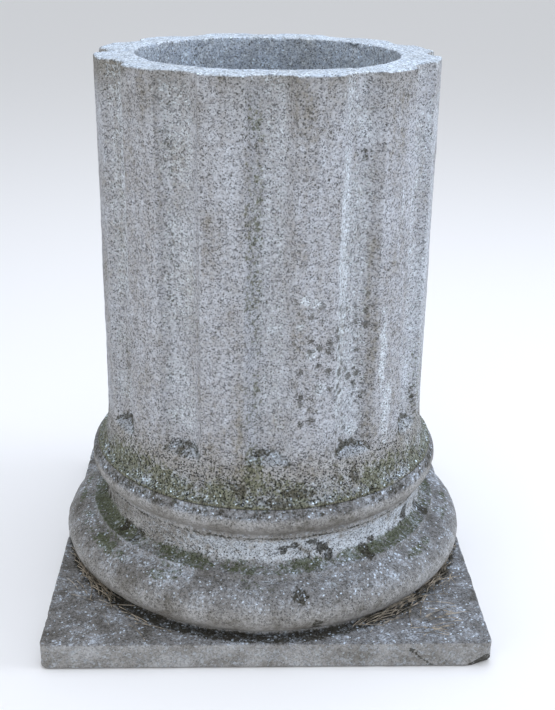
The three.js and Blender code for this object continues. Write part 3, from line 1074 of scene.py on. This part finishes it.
def cast_stone(name, tones, growth, runs):
    """Cast stone with its sand laid bare by rain, under what has grown on it.

    Tones go from the darkest cement to the palest. Growth holds the colours of moss; of dark dirt,
    which also paints shade; of bleach; of sooty brown, which also paints shade; of a cool tint for
    damp and painted sky light; and of the flecks of lichen on what faces the sky. Runs says how
    much the rain has drawn the stains out downwards.
    """
    stone = bpy.data.materials.new(name)
    stone.use_nodes = True
    tree = stone.node_tree
    tree.nodes.clear()
    where = add(tree, "ShaderNodeTexCoord").outputs["Object"]
    share = {
        field: add(tree, "ShaderNodeAttribute", attribute_name=field).outputs["Fac"]
        for field in ("moss", "grime_and_shade", "spots", "bleach", "soot_and_shade", "sky", "sand")
    }
    noises, cells = stone_patterns(tree, where)
    colour = bare_mix(tree, noises, tones, runs)
    # What faces the sky takes a cool tint, for damp and as painted sky light. Sooty brown dirt stays
    # where no rain washes, and the same share paints shade under the mouldings and at the drum's left.
    # Both are thin.
    for field, code in (("sky", growth["damp_and_sky_tint"]), ("soot_and_shade", growth["soot_and_shade"])):
        colour = add(tree, "ShaderNodeMix", {
            MIX_SHARE: share[field], MIX_UNDER: colour, MIX_OVER: linear(code),
        }, data_type="RGBA", blend_type="MULTIPLY").outputs[2]
    colour = settled(tree, colour, share, noises, cells, growth)
    pores = open_pores(tree, share, cells)
    for cover, code in (
        (dark_spots(tree, share, cells), growth["grime_and_shade"]),
        (crust_lichen(tree, share, noises, cells), growth["flecks"]),
    ):
        colour = add(tree, "ShaderNodeMix", {
            MIX_SHARE: cover, MIX_UNDER: colour, MIX_OVER: linear(code),
        }, data_type="RGBA").outputs[2]
    colour = add(tree, "ShaderNodeVectorMath", {
        0: colour, "Scale": sand_tone(tree, share, cells),
    }, operation="SCALE")
    colour = add(tree, "ShaderNodeMix", {
        MIX_SHARE: pores, MIX_UNDER: colour, MIX_OVER: linear(growth["grime_and_shade"]),
    }, data_type="RGBA").outputs[2]

    # Grains stand proud in their middles and pores are sunk, all within half a millimetre
    relief = add(tree, "MULTIPLY_ADD", {
        0: cells["sand"].distance, 1: -0.5, 2: noises["clump"]["Fac"],
    })
    sunk = add(tree, "MULTIPLY_ADD", {0: pores, 1: -0.8, 2: relief})
    bump = add(tree, "ShaderNodeBump", {"Height": sunk, "Strength": 0.3, "Distance": 0.6 * MM})
    shader = add(tree, "ShaderNodeBsdfPrincipled", {
        "Base Color": colour,
        "Roughness": 0.95,
        "IOR": 1.5,
        "Specular IOR Level": 0.2,
        "Normal": bump,
    })
    add(tree, "ShaderNodeOutputMaterial", {"Surface": shader})
    return stone


def dry_needle():
    """Pine needles that have lain a season: straw grey, darker where they are damp."""
    straw = bpy.data.materials.new("Dry pine needle")
    straw.use_nodes = True
    tree = straw.node_tree
    tree.nodes.clear()
    where = add(tree, "ShaderNodeTexCoord").outputs["Object"]
    # A needle is 30 to 60 mm long and 1.2 mm thick; its tone changes about every 13 mm
    patch = add(tree, "ShaderNodeTexNoise", {
        "Vector": where, "Scale": 1 / (13 * MM), "Detail": 2.0,
    })
    tone = add(tree, "ShaderNodeValToRGB", {"Fac": patch.outputs["Fac"]})
    stops = tone.color_ramp.elements
    stops[0].position, stops[0].color = 0.4, linear("5a554a")
    stops[1].position, stops[1].color = 0.6, linear("b9ae9d")
    shader = add(tree, "ShaderNodeBsdfPrincipled", {
        "Base Color": tone.outputs["Color"], "Roughness": 0.7, "IOR": 1.45,
    })
    add(tree, "ShaderNodeOutputMaterial", {"Surface": shader})
    return straw


# Camera, floor and light

CAMERA_PLACE = (-0.0376, -1.6683, 1.0198)
CAMERA_YAW = math.radians(1.978)
CAMERA_PITCH = math.radians(-21.718)
CAMERA_ROLL = math.radians(0.829)
CAMERA_LENS = 57.36
SENSOR_WIDTH = 36
FLOOR_HALF = 60
LAMP_AIM = Vector((0, 0, 0.4))


def set_camera():
    """The camera where the picture was taken from: a little above the rim, looking down."""
    forward = Vector((
        math.sin(CAMERA_YAW) * math.cos(CAMERA_PITCH),
        math.cos(CAMERA_YAW) * math.cos(CAMERA_PITCH),
        math.sin(CAMERA_PITCH),
    ))
    level = Vector((math.cos(CAMERA_YAW), -math.sin(CAMERA_YAW), 0))
    upright = level.cross(forward)
    right = level * math.cos(CAMERA_ROLL) + upright * math.sin(CAMERA_ROLL)
    up = upright * math.cos(CAMERA_ROLL) - level * math.sin(CAMERA_ROLL)
    data = bpy.data.cameras.new("Camera")
    data.lens = CAMERA_LENS
    data.sensor_width = SENSOR_WIDTH
    data.sensor_fit = "AUTO"
    camera = bpy.data.objects.new("Camera", data)
    turned = Matrix((right, up, -forward)).transposed()
    camera.matrix_world = Matrix.Translation(CAMERA_PLACE) @ turned.to_4x4()
    bpy.context.scene.collection.objects.link(camera)
    bpy.context.scene.camera = camera


def set_floor():
    """A plain pale floor."""
    mesh = bpy.data.meshes.new("Floor")
    corners = ((-1, -1), (1, -1), (1, 1), (-1, 1))
    mesh.from_pydata([(x * FLOOR_HALF, y * FLOOR_HALF, 0) for x, y in corners], [], [(0, 1, 2, 3)])
    floor = bpy.data.objects.new("Floor", mesh)
    bpy.context.scene.collection.objects.link(floor)
    paint = bpy.data.materials.new("Pale floor")
    paint.use_nodes = True
    surface = paint.node_tree.nodes["Principled BSDF"].inputs
    surface["Base Color"].default_value = linear("f4f4f4")
    surface["Roughness"].default_value = 0.9
    mesh.materials.append(paint)


def set_light():
    """Soft light from a pale room and three broad lamps."""
    world = bpy.data.worlds.new("Studio")
    bpy.context.scene.world = world
    world.use_nodes = True
    sky = world.node_tree.nodes["Background"].inputs
    sky["Color"].default_value = linear("eef1f6")
    sky["Strength"].default_value = 0.78
    # Each lamp: name, place, size in metres, power in watts and colour
    lamps = (
        ("Cool top light", (0.2, 0.1, 3.4), 3.0, 60, "e6eeff"),
        ("Soft right light", (3.0, -0.4, 1.5), 1.2, 38, "eef4ff"),
        ("Warm front fill", (-2.2, -2.6, 1.2), 1.6, 18, "fff6ea"),
    )
    for name, at, size, power, code in lamps:
        data = bpy.data.lights.new(name, "AREA")
        data.size = size
        data.energy = power
        data.color = linear(code)[:3]
        lamp = bpy.data.objects.new(name, data)
        turned = (LAMP_AIM - Vector(at)).to_track_quat("-Z", "Y").to_matrix()
        lamp.matrix_world = Matrix.Translation(at) @ turned.to_4x4()
        bpy.context.scene.collection.objects.link(lamp)
    bpy.context.scene.view_settings.view_transform = "Standard"


set_camera()
set_floor()
set_light()

# Cast stone of the drum: a dry mix of grey cement and pale sand, tamped into a mould and never
# polished. Rain has washed the cement off, so the eye sees matt grey speckled by the grains.
drum_stone = cast_stone(
    "Cast stone, rain-washed",
    ("888681", "999a9d", "a4a7ad", "b2b7bf"),
    # Below, the dark dirt colour and the sooty brown also paint shade; the cool damp tint also paints
    # sky light
    {
        "moss": "5b5d49",
        "grime_and_shade": "46443b",
        "bleach": "ccd5dc",
        "soot_and_shade": "c2bcae",
        "damp_and_sky_tint": "e4f1fd",
        "flecks": "d2e2f0",
    },
    0.34,
)
# Cast stone of the base: the same mix, always damp, darker, with crust lichen and moss.
base_stone = cast_stone(
    "Cast stone, damp and lichened",
    ("706e69", "868583", "959594", "a6a7a9"),
    # Below, the dark dirt colour and the sooty brown also paint shade; the cool damp tint also paints
    # sky light
    {
        "moss": "4b523c",
        "grime_and_shade": "36342c",
        "bleach": "bcc4cd",
        "soot_and_shade": "dad4cb",
        "damp_and_sky_tint": "d2d5db",
        "flecks": "d0deee",
    },
    0.0,
)
needle_finish = dry_needle()

drum = build_drum()
drum.data.materials.append(drum_stone)
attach(drum, "root")
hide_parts("fluted_shaft")

base = build_base()
base.data.materials.append(base_stone)
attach(base, "root")
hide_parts("moulded_base")

NEEDLE_SIZES = {
    "Needle length": 52 * MM,
    "Needle radius": 0.62 * MM,
    "Lie": PLINTH_THICKNESS + 0.3 * MM,
}
# Drifts in the crevice under the lower torus and loose on the plinth: radius in mm, start and
# sweep in degrees from +X, count, spread and heap in mm, turn and its spread in degrees, seed
DRIFTS = (
    ("needles_in_right_crevice", 302, -62, 56, 120, 18, 8, 0, 16, 1),
    ("needles_beside_crevice", 318, -62, 34, 24, 20, 3, 0, 45, 2),
    ("needles_on_plinth_right", 344, -52, 11, 17, 50, 3, -38, 34, 3),
    ("needles_in_left_crevice", 302, -166, 28, 70, 18, 5, 0, 22, 4),
    ("needles_on_plinth_left", 312, -150, 30, 14, 46, 1, 10, 60, 6),
    ("needles_behind", 302, 20, 150, 90, 10, 4, 0, 14, 5),
)
needle_maker = needle_tree(needle_finish)
for name, radius, start, sweep, count, spread, heap, turn, turn_spread, seed in DRIFTS:
    pile = drift(name, needle_maker, {
        "Radius": radius * MM,
        "Start": math.radians(start),
        "Sweep": math.radians(sweep),
        "Count": count,
        "Spread": spread * MM,
        "Heap": heap * MM,
        "Turn": math.radians(turn),
        "Turn spread": math.radians(turn_spread),
        "Seed": seed,
        **NEEDLE_SIZES,
    })
    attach(pile, "root")
